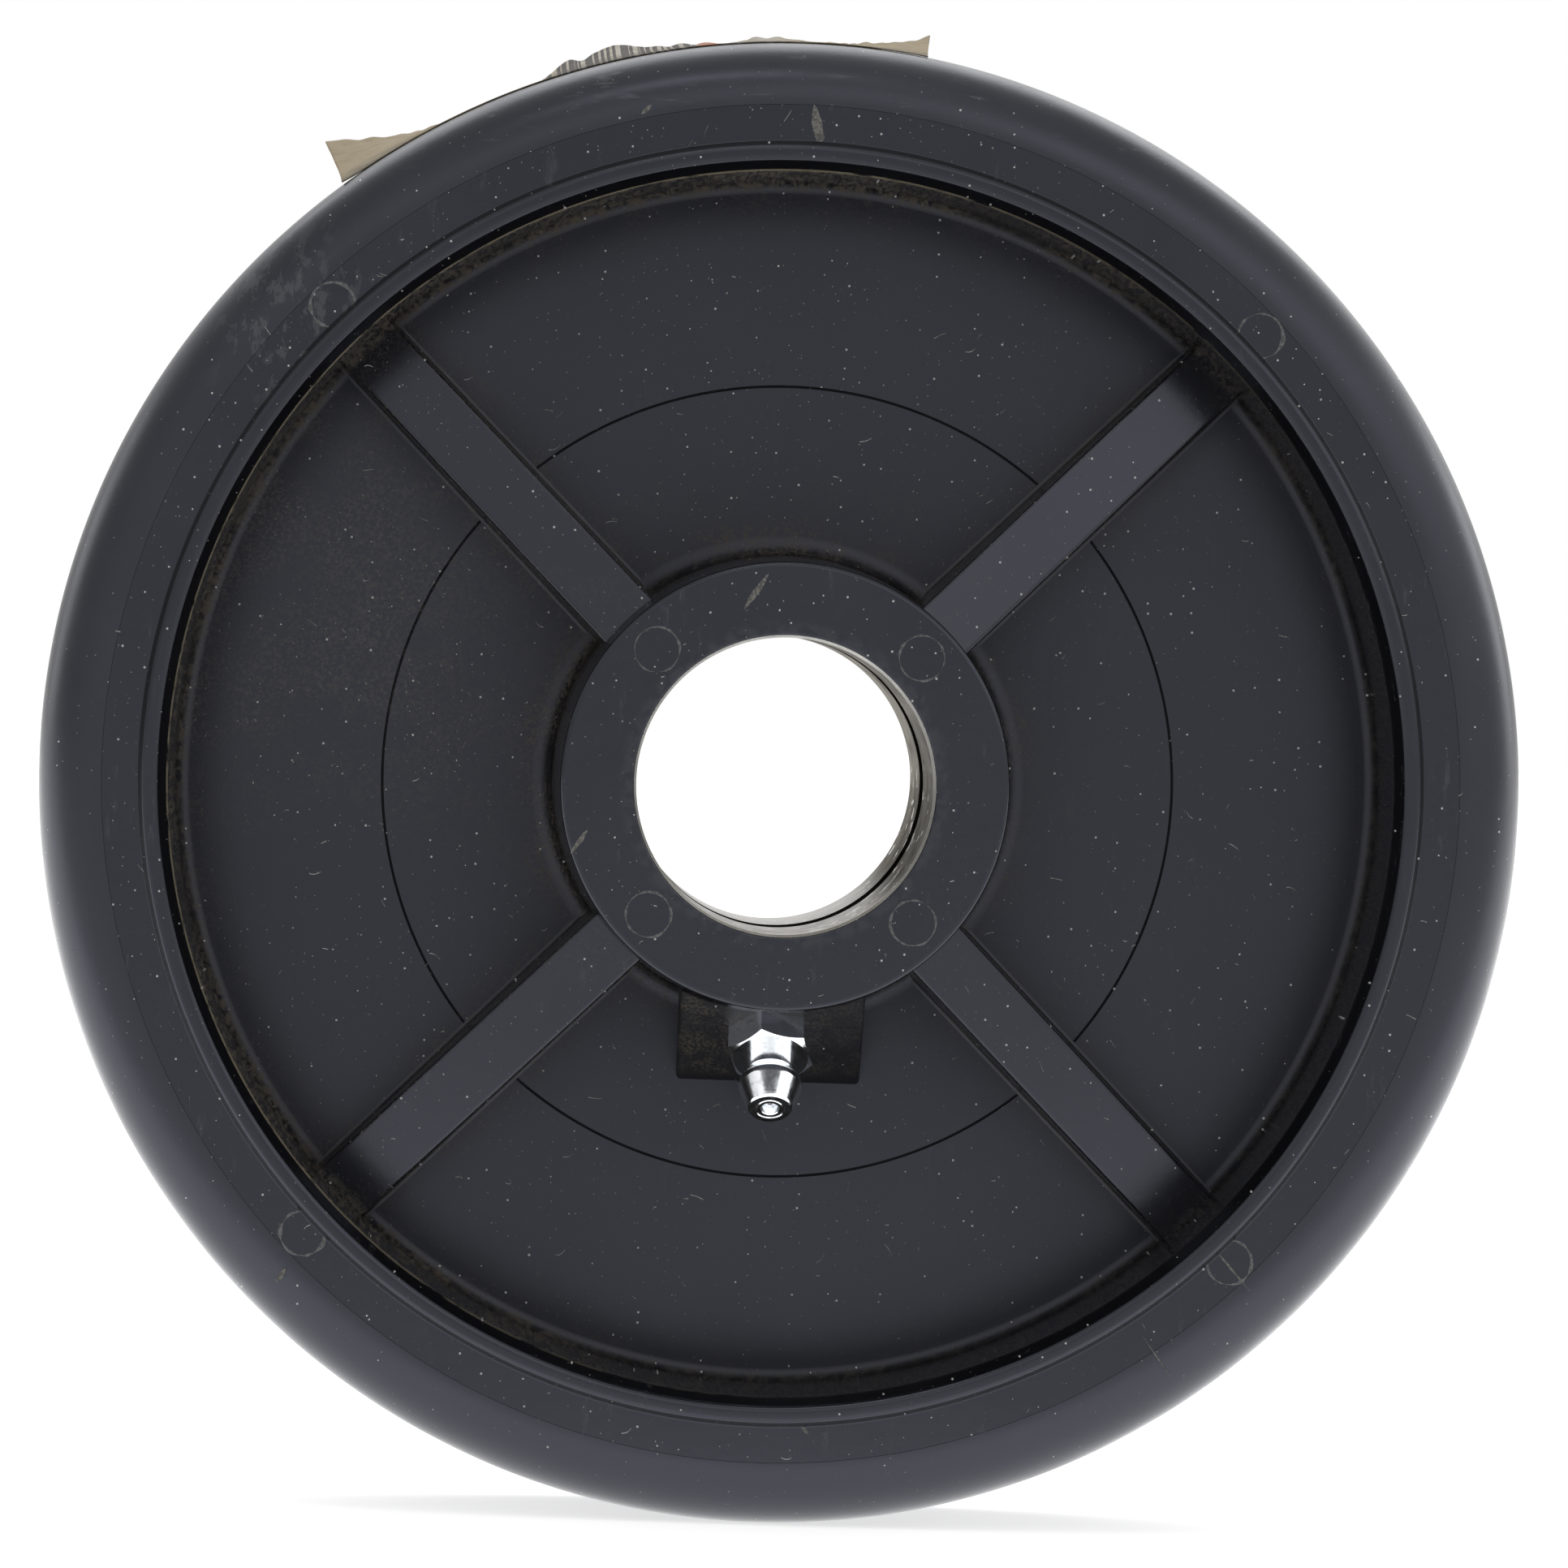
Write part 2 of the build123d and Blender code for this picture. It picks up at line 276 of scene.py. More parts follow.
def core_plastic():
    """Satin black moulding with dust in its corners, specks and faint scuffs."""
    f = Finish("core_plastic", BLACK, tint=BLUISH)
    cloud = f.noise(14, detail=4)
    fine = f.noise(0.35, detail=4, roughness=0.7)
    # 1 to the left and above, where most dust lies, and less the other way
    side = (f.z * 0.5 - f.x * 0.87).ramp(-55, 35, 0.3, 1.0)
    web = 1 - f.height.ramp(3.2, 4.5)
    recess = 1 - f.height.ramp(17.2, 18)
    f.layer(cloud.ramp(0.35, 0.75, 0, 0.3), (0.011, 0.011, 0.013))
    # The rim's wall, with a pale line at its top
    wall = f.radius.ramp(60.9, 62.0) * (1 - f.radius.ramp(62.8, 63.0)) * (1 - f.height.ramp(16.8, 17.8))
    grain = f.noise(0.55, detail=5, stretch=(1, 9, 1), roughness=0.75, shift=9)
    patches = f.noise(9, detail=4, shift=3).ramp(0.3, 0.6, 0.3, 1.0)
    grime = wall * side * grain.ramp(0.42, 0.6) * patches
    f.layer(grime * 0.8, DIRT)
    edge = f.radius.ramp(62.6, 62.75) * (1 - f.radius.ramp(62.95, 63.05)) * f.height.ramp(16.4, 17.2)
    f.layer(edge * side.power(3) * f.noise(2.5, shift=6).ramp(0.3, 0.5) * 0.9, (0.3, 0.26, 0.18))
    # The hub's foot, the ribs' feet and the web's edge
    hub_foot = (1 - f.radius.ramp(25.5, 28)) * (1 - f.height.ramp(8, 14)) + (1 - f.radius.ramp(26, 38)) * 0.25
    along = abs(f.x) - abs(f.z)
    from_rib = abs(along) * 0.7071 - RIB_WIDTH / 2
    rib_foot = from_rib.ramp(-0.6, 0.0) * (1 - from_rib.ramp(0.5, 4.0)) * (1 - f.radius.ramp(61, 62))
    web_edge = f.radius.ramp(56, 61.5) * 0.4
    corners = hub_foot.most(rib_foot * 0.8).most(web_edge) * recess * side
    powder = fine.ramp(0.45, 0.62) * f.noise(5, detail=5, shift=4).ramp(0.35, 0.6, 0.15, 1.0)
    f.layer(corners * powder * 0.6, (0.085, 0.07, 0.05))
    rib_side = from_rib.ramp(-0.08, 0.05) * (1 - from_rib.ramp(0.55, 0.8)) * (1 - f.radius.ramp(60, 61)) * recess
    f.layer(rib_side * along.ramp(-1, 1, 0.75, 0.3) * f.noise(3, shift=17).ramp(0.3, 0.6, 0.4, 0.9), (0.045, 0.042, 0.038))
    left = (1 - abs(f.x + 46).ramp(6, 26)) * (1 - abs(f.z - 18).ramp(8, 30)) * web
    f.layer(left * powder * 0.35, (0.09, 0.08, 0.065))
    # The boss
    boss = (1 - abs(f.x).ramp(9.4, 9.8)) * f.z.ramp(-31.5, -31.0) * f.radius.ramp(23.5, 23.8) * recess * (1 - web)
    boss_dust = boss * fine.ramp(0.42, 0.6) * f.noise(2.2, detail=4, shift=2).ramp(0.4, 0.65, 0.1, 1.0)
    boss_dust = boss_dust * f.x.ramp(-9, 9, 1.0, 0.35)
    f.layer(boss_dust * 0.85, (0.085, 0.075, 0.055))
    # The hub's face beside the bore, and scuffs
    mouth = (1 - f.radius.ramp(15.9, 17.2)) * f.height.ramp(30.5, 30.8)
    f.layer(mouth * f.noise(1.2, detail=4, shift=8).ramp(0.4, 0.6) * 0.3, (0.06, 0.06, 0.06))
    scuff = f.noise(1.1, detail=5, stretch=(1, 1, 5), roughness=0.7, shift=14).ramp(0.56, 0.72)
    scuff = scuff * f.noise(8, shift=15).ramp(0.45, 0.65) * (1 - web * 0.6)
    f.layer(scuff * 0.45, (0.06, 0.06, 0.062))
    smears = (1 - abs(f.x + 49).ramp(2, 9)) * (1 - abs(f.z - 44).ramp(2, 12)) * f.radius.ramp(65.5, 66)
    smears = smears * f.noise(1.6, detail=5, stretch=(1, 1, 2), roughness=0.7, shift=23).ramp(0.52, 0.6)
    f.layer(smears * 0.8, (0.06, 0.06, 0.062))
    dusty = side * f.noise(12, detail=3, shift=20).ramp(0.35, 0.6, 0.4, 1.0)
    f.layer(f.specks(1.1, 0.075, 0.4) * dusty, DUST)
    f.layer(f.specks(2.3, 0.12, 0.35, shift=31), PALE_DUST)
    roughness = 0.2 + web * 0.25 + cloud.ramp(0.3, 0.8) * 0.06 + grime * 0.4 + boss * 0.3 + scuff * 0.1
    relief = f.noise(2.4, detail=2) * 0.5 + fine * 0.2 + cloud * 1.2
    return f.finish(roughness + corners * powder * 0.2, relief, 0.03)


def tread_rubber():
    """The same black with a softer shine, scuffs round the shoulder, and streaks along its top that are partly
    scuffs and partly painted highlight.
    """
    f = Finish("tread_rubber", BLACK, specular=0.55, tint=BLUISH)
    cloud = f.noise(11, detail=4)
    fine = f.noise(0.45, detail=4)
    f.layer(cloud.ramp(0.4, 0.8, 0, 0.4), (0.013, 0.013, 0.015))
    f.layer(f.specks(1.5, 0.075, 0.35), DUST)
    f.layer(f.specks(2.9, 0.12, 0.25, shift=13), PALE_DUST)
    # Streaks along the top of the shoulder, partly scuffs and partly a painted highlight
    scuff_and_highlight_streak = f.noise(0.7, detail=4, stretch=(12, 1, 1), roughness=0.6).ramp(0.58, 0.7)
    scuff_and_highlight_streak = scuff_and_highlight_streak * f.z.ramp(60, 68) * f.noise(5, shift=2).ramp(0.4, 0.6)
    f.layer(scuff_and_highlight_streak * 0.35, (0.16, 0.16, 0.17))
    smears = (1 - abs(f.x + 53).ramp(2, 9)) * (1 - abs(f.z - 47).ramp(2, 12))
    smears = smears * f.noise(1.6, detail=5, stretch=(1, 1, 2), roughness=0.7, shift=23).ramp(0.52, 0.6)
    f.layer(smears * 0.7, (0.06, 0.06, 0.062))
    roughness = 0.26 + cloud.ramp(0.3, 0.8) * 0.08 + fine * 0.04 + scuff_and_highlight_streak * 0.15
    relief = f.noise(2.0, detail=2) * 0.5 + fine * 0.25 + cloud * 1.0
    return f.finish(roughness, relief, 0.03)


def race_steel():
    """Steel dulled by old grease, with painted reflection that makes it brighter below and on its lead-in, rubbed
    streaks, and painted shade that darkens its ends at the gap.
    """
    f = Finish("race_steel", (0.2, 0.19, 0.17), metallic=1.0, tint=(0.4, 0.39, 0.37))
    # Painted reflection: the lower part of each race is made lighter, standing in for the white it reflects there
    reflection_below = 1 - f.z.ramp(-13.5, -8.5)
    stain = f.noise(3.0, detail=4, stretch=(1, 2, 1))
    f.layer(stain.ramp(0.45, 0.7, 0, 0.7), (0.09, 0.085, 0.075))
    f.layer(reflection_below * stain.ramp(0.3, 0.5, 1.0, 0.8), (0.9, 0.9, 0.89))
    rubbed = f.noise(1.5, detail=3, stretch=(1, 3, 1), shift=5).ramp(0.6, 0.63) * (1 - f.z.ramp(-4, 4))
    # The rubbed streaks are wear; the near-white lead-in is a painted reflection
    lead_in_reflection = f.height.ramp(29.5, 29.6)
    rubbed_and_reflection = rubbed.most(lead_in_reflection)
    f.layer(rubbed_and_reflection, (0.93, 0.93, 0.92))
    # Painted shade: the races' ends at the gap are made near black
    f.layer(1 - f.height.ramp(4.35, 4.5), (0.006, 0.006, 0.005))
    roughness = 0.5 - reflection_below * 0.25 - rubbed_and_reflection * 0.15 + stain.ramp(0.35, 0.7) * 0.1
    return f.finish(roughness.most(0.15))


def zinc_plate():
    """Bright zinc plate with a fine relief, dulled here and there."""
    f = Finish("zinc_plate", (0.93, 0.95, 0.97), metallic=1.0)
    stain = f.noise(0.9, detail=5, roughness=0.6)
    f.layer(stain.ramp(0.52, 0.7, 0, 0.5), (0.5, 0.53, 0.57))
    roughness = 0.13 + stain.ramp(0.35, 0.7) * 0.1
    return f.finish(roughness, f.noise(0.3, detail=4), 0.006)


def label_paper():
    """Tan paper with fibres and creases, darker by the tread with dirt and painted shade, with plain bars across its
    middle.
    """
    f = Finish("label_paper", (0.34, 0.28, 0.18), specular=0.25)
    fibre = f.noise(0.35, detail=4, stretch=(3, 1, 1))
    crease = f.noise(2.4, detail=5, roughness=0.6)
    middle = f.x.ramp(-27, -24) * (1 - f.x.ramp(-4, 2))
    f.layer(middle * 0.75, (0.5, 0.48, 0.44))
    f.layer(crease.ramp(0.45, 0.62, 0, 0.5), (0.27, 0.22, 0.14))
    f.layer(fibre.ramp(0.55, 0.75, 0, 0.45), (0.16, 0.125, 0.075))
    bars = f.noise(0.6, detail=1, stretch=(1, 9000, 9000), shift=5).ramp(0.48, 0.5)
    printed = f.x.ramp(-26.5, -26) * (1 - f.x.ramp(-10.5, -10))
    f.layer(bars * printed * fibre.ramp(0.2, 0.4) * 0.92, (0.02, 0.018, 0.016))
    spot = (1 - abs(f.x + 9.6).ramp(0.7, 1.3)) * fibre.ramp(0.3, 0.5)
    f.layer(spot * 0.75, (0.5, 0.12, 0.04))
    # Partly dirt and partly painted shade: darker where the label lies close to the tread
    dirt_and_shade_by_tread = 1 - f.radius.ramp(76.3, 77.5)
    f.layer(dirt_and_shade_by_tread * crease.ramp(0.3, 0.6, 0.5, 1.0) * 0.85, (0.035, 0.027, 0.018))
    return f.finish(0.75, fibre * 0.5 + crease * 1.6, 0.05)


def scraped_plastic(name, colour):
    """Paler, rougher plastic where the surface was gouged, scraped or flashed."""
    f = Finish(name, colour)
    grain = f.noise(0.3, detail=5)
    f.layer(grain.ramp(0.42, 0.58, 0, 0.85), (0.03, 0.03, 0.03))
    return f.finish(0.5, grain, 0.04)


def lint_finish():
    """Pale dust flakes and fibres."""
    f = Finish("lint", (0.75, 0.75, 0.73), specular=0.2)
    f.layer(f.noise(1.5).ramp(0.4, 0.6), (0.3, 0.29, 0.26))
    return f.finish(0.85)


# Mesh helpers

def rounded(corners, steps=7, support=0.12):
    """Points of a closed outline from (radius, height, fillet) corners, with short edges beside
    each fillet, so that flat faces keep their own shading."""
    points = []
    count = len(corners)
    for i, (r, y, fillet) in enumerate(corners):
        here = Vector((r, y))
        if not fillet:
            points.append(here)
            continue
        before = (Vector(corners[i - 1][:2]) - here).normalized()
        after = (Vector(corners[(i + 1) % count][:2]) - here).normalized()
        half = before.angle(after) / 2
        reach = fillet / math.tan(half)
        centre = here + (before + after).normalized() * (fillet / math.sin(half))
        start = here + before * reach - centre
        end = here + after * reach - centre
        for k in range(steps + 1):
            share = k / steps
            points.append(centre + start.slerp(end, share) * fillet)
    spaced = []
    for i, point in enumerate(points):
        following = points[(i + 1) % len(points)]
        spaced.append(point)
        length = (following - point).length
        if length > 6 * support:
            step = (following - point) * (support / length)
            spaced.extend([point + step, following - step])
    return spaced


def both_halves(half):
    return half + [(r, -y, fillet) for r, y, fillet in reversed(half)]


def build(name, vertices, faces, material, crease_angle=35):
    """A mesh object with outward normals from points in mm, smooth but for its sharp edges."""
    mesh = bpy.data.meshes.new(name)
    mesh.from_pydata([Vector(v) * MM for v in vertices], [], faces)
    work = bmesh.new()
    work.from_mesh(mesh)
    bmesh.ops.recalc_face_normals(work, faces=work.faces)
    work.to_mesh(mesh)
    work.free()
    mesh.materials.append(material)
    mesh.shade_smooth()
    mesh.set_sharp_from_angle(angle=math.radians(crease_angle))
    piece = bpy.data.objects.new(name, mesh)
    bpy.context.scene.collection.objects.link(piece)
    return piece


def grid_faces(rows, columns, close_rows=False, close_columns=False, start=0):
    """Faces of a grid of points laid out row by row."""
    faces = []
    for i in range(rows if close_rows else rows - 1):
        for j in range(columns if close_columns else columns - 1):
            a = start + i * columns + j
            b = start + i * columns + (j + 1) % columns
            c = start + (i + 1) % rows * columns + (j + 1) % columns
            d = start + (i + 1) % rows * columns + j
            faces.append((a, b, c, d))
    return faces


def spin(name, outline, material, segments=SEGMENTS):
    """A closed outline in the radius-height plane turned round the wheel's axis."""
    vertices = []
    for i in range(segments):
        turn = 2 * math.pi * i / segments
        vertices += [(p.x * math.cos(turn), p.y, p.x * math.sin(turn)) for p in outline]
    faces = grid_faces(segments, len(outline), close_rows=True, close_columns=True)
    return build(name, vertices, faces, material)


def dress(piece, body="wheel", replaces=()):
    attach(piece, body)
    if replaces:
        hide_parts(*replaces)
    return piece


# Pieces of the wheel

def joint_outline():
    """Where tread and core meet on one side, with a fine groove at the rim face."""
    return [
        (JOINT_RADIUS, RIM_HALF - JOINT_GROOVE, 0),
        (JOINT_RADIUS, KEY_HALF + KEY_SLOPE, 0),
        (KEY_RADIUS, KEY_HALF, 0),
    ]


DISH_BEND = (DISH_END - DISH_START) / math.sin(DISH_SLOPE)
DISH_DEPTH = DISH_BEND * (1 - math.cos(DISH_SLOPE))


def dish(steps=8):
    """Corners along the arc by which the web sinks towards the wall."""
    turns = [DISH_SLOPE * i / steps for i in range(steps + 1)]
    return [(DISH_START + DISH_BEND * math.sin(t), WEB_HALF - DISH_BEND * (1 - math.cos(t)), 0) for t in turns]


def core_body(material):
    half = [
        (RACE_RADIUS, RACE_END, 0),
        (MOUTH_RADIUS, RACE_END, 0),
        (MOUTH_RADIUS, HUB_HALF, 0.25),
        (HUB_RADIUS, HUB_HALF, 0.5),
        (HUB_BASE_RADIUS, WEB_HALF, 2.0),
        (WEB_LINE_RADIUS - WEB_LINE_WIDTH / 2, WEB_HALF, 0),
        (WEB_LINE_RADIUS, WEB_HALF - WEB_LINE_DEPTH, 0),
        (WEB_LINE_RADIUS + WEB_LINE_WIDTH / 2, WEB_HALF, 0),
    ] + dish() + [
        (WALL_BASE_RADIUS, WEB_HALF - DISH_DEPTH - 0.1, 1.1),
        (WALL_TOP_RADIUS, WALL_TOP, 0),
        (LIP_INNER, RIM_HALF + LIP_HEIGHT, 0.8),
        (LIP_OUTER, RIM_HALF + LIP_HEIGHT, 0.6),
        (LIP_FOOT, RIM_HALF, 0.12),
        (JOINT_RADIUS - JOINT_GROOVE, RIM_HALF, 0),
    ] + joint_outline()
    return dress(spin("core_body", rounded(both_halves(half)), material),
                 replaces=["wheel_core"])


def tread(material):
    half = list(reversed(joint_outline())) + [
        (JOINT_RADIUS + JOINT_GROOVE / 2, RIM_HALF, 0),
        (WHEEL_RADIUS, RIM_HALF, SHOULDER_RADIUS),
    ]
    outline = rounded(both_halves(half), steps=20)
    return dress(spin("tread_ring", outline, material), replaces=["tread"])


def races(material):
    for side, name in ((-1, "near"), (1, "far")):
        outline = rounded([
            (BORE_RADIUS, side * GAP_HALF, 0.2),
            (RACE_RADIUS, side * GAP_HALF, 0),
            (RACE_RADIUS, side * RACE_END, 0),
            (MOUTH_RADIUS, side * RACE_END, 0),
            (BORE_RADIUS, side * (RACE_END - RACE_LEAD), 0),
        ], steps=4)
        piece = spin(f"{name}_race", outline, material)
        dress(piece, replaces=[f"{name}_bearing_race"])


def rib_section(top):
    """Points across a rib, from one foot to the other: (offset, height), with a flared foot."""
    flare, edge, steps = 0.45, 0.35, 5
    foot = RIB_WIDTH / 2 + (top - WEB_HALF) * DRAFT
    points = [(foot + flare, WEB_HALF - 1.0), (foot + flare, WEB_HALF - 0.02)]
    for k in range(steps + 1):
        turn = math.pi / 2 * k / steps
        points.append((foot + flare - flare * math.sin(turn), WEB_HALF + flare - flare * math.cos(turn)))
    for k in range(steps + 1):
        turn = math.pi / 2 * k / steps
        points.append((RIB_WIDTH / 2 - edge + edge * math.cos(turn), top - edge + edge * math.sin(turn)))
    points.append((RIB_WIDTH / 2 - edge - 0.15, top))
    return points + [(-offset, height) for offset, height in reversed(points)]


def ribs(material):
    """The ribs of one side are one piece. They slope from the hub down to the rim."""
    start, end, stations = HUB_RADIUS - 3, WALL_TOP_RADIUS + 1.5, 14
    for side, name in ((-1, "near"), (1, "far")):
        vertices, faces = [], []
        for angle in RIB_ANGLES:
            along = Vector((math.cos(math.radians(angle)), 0, math.sin(math.radians(angle))))
            across = Vector((-along.z, 0, along.x))
            first = len(vertices)
            for i in range(stations):
                radius = start + (end - start) * i / (stations - 1)
                share = (radius - HUB_RADIUS) / (WALL_BASE_RADIUS - HUB_RADIUS)
                top = RIB_HUB_TOP + (RIB_RIM_TOP - RIB_HUB_TOP) * share
                section = rib_section(top)
                vertices += [along * radius + across * o + Vector((0, side * h, 0)) for o, h in section]
            size = len(section)
            faces += grid_faces(stations, size, close_columns=True, start=first)
            faces.append(tuple(range(first, first + size)))
            faces.append(tuple(range(first + (stations - 1) * size, first + stations * size)))
        dress(build(f"{name}_ribs", vertices, faces, material))


# The fitting's own frame: z leaves the seat along the fitting
seat_frame = Matrix.Translation((0, -SEAT_HEIGHT, -SEAT_RADIUS)) @ Matrix((
    (1, 0, 0, 0),
    (0, math.cos(FITTING_TILT), -math.sin(FITTING_TILT), 0),
    (0, -math.sin(FITTING_TILT), -math.cos(FITTING_TILT), 0),
    (0, 0, 0, 1),
))


def boss(material):
    """The wedge that seats the fitting, with rounded edges."""
    slope = math.tan(FITTING_TILT)
    inner = HUB_RADIUS - 3
    top = SEAT_HEIGHT + (SEAT_RADIUS - inner) / slope
    low = WEB_HALF - 1
    foot = SEAT_RADIUS + (SEAT_HEIGHT - low) * slope
    outline = [(inner, low), (inner, top), (foot, low)]
    half = BOSS_WIDTH / 2
    vertices = [(x, -height, -radius) for x in (-half, half) for radius, height in outline]
    faces = [(0, 1, 2), (3, 4, 5), (0, 1, 4, 3), (1, 2, 5, 4), (2, 0, 3, 5)]
    piece = build("fitting_boss", vertices, faces, material)
    bevel = piece.modifiers.new("edges", "BEVEL")
    bevel.width = 0.4 * MM
    bevel.segments = 4
    bevel.harden_normals = True
    return dress(piece)


def turned(name, outline, material, segments=96):
    """A closed outline of (radius, z) turned round the fitting's axis."""
    vertices = []
    for i in range(segments):
        turn = 2 * math.pi * i / segments
        vertices += [seat_frame @ Vector((p.x * math.cos(turn), p.x * math.sin(turn), p.y)) for p in outline]
    return build(name, vertices, grid_faces(segments, len(outline), True, True), material, 28)


def hexagon(material):
    """The fitting's hexagon, its corners cut by a cone."""
    segments, chamfer_slope = 180, math.tan(math.radians(30))
    flat_circle = HEX_FLATS / 2 * 0.97
    bore = 2.0
    vertices = []
    for i in range(segments):
        turn = 2 * math.pi * i / segments
        off_flat = (math.degrees(turn + HEX_TURN) % 60) - 30
        radius = HEX_FLATS / 2 / math.cos(math.radians(off_flat))
        edge = HEX_THICKNESS - (radius - flat_circle) * chamfer_slope
        ring = [(radius, 0), (radius, edge), (flat_circle, HEX_THICKNESS),
                (flat_circle - 0.1, HEX_THICKNESS), (bore, HEX_THICKNESS), (bore, 0)]
        vertices += [seat_frame @ Vector((r * math.cos(turn), r * math.sin(turn), z)) for r, z in ring]
    return dress(build("fitting_hexagon", vertices, grid_faces(segments, 6, True, True), material, 20))


def nipple(material):
    top = HEX_THICKNESS
    outline = rounded([
        (0.9, -7.0, 0),
        (3.15, -7.0, 0.3),
        (3.15, 0, 0),
        (2.45, 0.3, 0),
        (2.45, top + 1.9, 0.4),
        (3.3, top + 3.2, 0.3),
        (3.3, top + 3.8, 0.5),
        (2.3, top + 6.5, 0.3),
        (1.55, top + 6.5, 0.03),
        (1.5, top + 6.42, 0.03),
        (1.38, top + 6.42, 0.03),
        (1.33, top + 6.5, 0.03),
        (0.9, top + 6.5, 0.12),
        (0.9, top + 5.55, 0),
        (1.45, top + 5.0, 0),
        (1.45, -6.5, 0),
        (0.9, -6.5, 0),
    ], steps=5, support=0.05)
    return dress(turned("fitting_nipple", outline, material),
                 replaces=["grease_fitting_body"])


def check_ball(material):
    """The ball shows in the nozzle's hole."""
    centre = sum(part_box("fitting_check_ball"), Vector()) / 2 / MM
    radius, rows, columns = 1.15, 25, 48
    vertices = []
    for i in range(1, rows):
        lift = math.pi * i / rows - math.pi / 2
        for j in range(columns):
            turn = 2 * math.pi * j / columns
            flat = radius * math.cos(lift)
            vertices.append(centre + Vector((flat * math.cos(turn), flat * math.sin(turn), radius * math.sin(lift))))
    faces = grid_faces(rows - 1, columns, close_columns=True)
    faces.append(tuple(range(columns)))
    faces.append(tuple(range((rows - 2) * columns, (rows - 1) * columns)))
    piece = build("check_ball_polished", vertices, faces, material)
    return dress(piece, body="check_ball", replaces=["fitting_check_ball"])


# Label

NEAR_EDGE = [(-38, 0.3), (-36, 0.08), (-30, 0.07), (-20, 0.07), (-12, 0.07), (0, 0.07), (9.6, 0.1)]
FAR_EDGE = [(-37, 5.6), (-34, 3.2), (-31, 1.5), (-27, 0.7), (-21, 0.8), (-18, 2.2), (-16.8, 1.9),
            (-14.2, 2.6), (-11.5, 1.7), (-8.5, 1.5), (-5.5, 1.2), (-2.4, 1.7), (1, 1.3), (5, 1.6), (8.5, 2.6), (10, 3.6)]


def along_edge(points, share):
    """Angle and lift at a share of an edge, smoothly between its points."""
    spot = share * (len(points) - 1)
    i = min(int(spot), len(points) - 2)
    t = spot - i
    p0, p1, p2, p3 = [Vector(points[max(0, min(len(points) - 1, k))]) for k in range(i - 1, i + 3)]
    return 0.5 * (2 * p1 + (p2 - p0) * t + (2 * p0 - 5 * p1 + 4 * p2 - p3) * t**2
                  + (3 * p1 - p0 - 3 * p2 + p3) * t**3)


def share_at(points, angle):
    """The share of an edge at which it has passed an angle."""
    low, high = 0.0, 1.0
    for _ in range(24):
        middle = (low + high) / 2
        if along_edge(points, middle).x < angle:
            low = middle
        else:
            high = middle
    return low


def label(material):
    width, shift, rows, columns = 25.4, 0.8, 40, 220
    vertices = []
    for i in range(rows):
        across = i / (rows - 1)
        for j in range(columns):
            along = j / (columns - 1)
            near_angle = NEAR_EDGE[0][0] + (NEAR_EDGE[-1][0] - NEAR_EDGE[0][0]) * along
            far_angle = FAR_EDGE[0][0] + (FAR_EDGE[-1][0] - FAR_EDGE[0][0]) * along
            near = along_edge(NEAR_EDGE, share_at(NEAR_EDGE, near_angle)).y
            far = along_edge(FAR_EDGE, share_at(FAR_EDGE, far_angle)).y
            angle = math.radians(near_angle + (far_angle - near_angle) * across)
            rise = across ** 1.4
            wrinkle = noise.noise(Vector((angle * 60, across * 6, 0))) * 0.25 * rise
            lift = near + (far - near) * rise + wrinkle
            height = -width / 2 - shift + width * across
            into_shoulder = max(0, abs(height) - (RIM_HALF - SHOULDER_RADIUS))
            drop = SHOULDER_RADIUS - math.sqrt(SHOULDER_RADIUS**2 - into_shoulder**2)
            radius = WHEEL_RADIUS - drop + max(lift, 0.07)
            vertices.append((radius * math.sin(angle), height, radius * math.cos(angle)))
    piece = build("paper_label", vertices, grid_faces(rows, columns), material, 60)
    thickness = piece.modifiers.new("paper", "SOLIDIFY")
    thickness.thickness = 0.1 * MM
    thickness.offset = 0
    return dress(piece, replaces=["label"])


# Small marks on the mouldings

def pin_marks(material):
    """Raised flash round each ejector pin's print on the hub and rim faces."""
    steps, segments = 6, 96
    for side, name in ((-1, "near"), (1, "far")):
        vertices, faces = [], []
        for pitch, face, tube in ((HUB_MARK_PITCH, HUB_HALF, 0.13), (RIM_MARK_PITCH, RIM_HALF, 0.19)):
            for angle in RIB_ANGLES:
                centre = Vector((math.cos(math.radians(angle)), 0, math.sin(math.radians(angle)))) * pitch
                first = len(vertices)
                for i in range(segments):
                    turn = 2 * math.pi * i / segments
                    out = Vector((math.cos(turn), 0, math.sin(turn)))
                    ragged = noise.noise(centre + out * 2)
                    radius = MARK_RADIUS + 0.04 * ragged
                    girth = tube * (0.7 + 0.9 * ragged)
                    for k in range(steps):
                        spoke = 2 * math.pi * k / steps
                        offset = out * (radius + girth * math.cos(spoke))
                        lift = face + 0.07 * math.sin(spoke)
                        vertices.append(centre + offset + Vector((0, side * lift, 0)))
                faces += grid_faces(segments, steps, True, True, start=first)
        dress(build(f"{name}_pin_flash", vertices, faces, material, 80))


def on_near_side(pixel, height):
    """The point at that height on the near side that the photograph shows at a pixel."""
    across, down = pixel
    middle = IMAGE_SIZE / 2
    ray = CAMERA.to_3x3() @ Vector(((across - middle) / FOCAL_PIXELS, (middle - down) / FOCAL_PIXELS, -1))
    start = CAMERA.translation / MM
    return start + ray * ((-height - start.y) / ray.y)


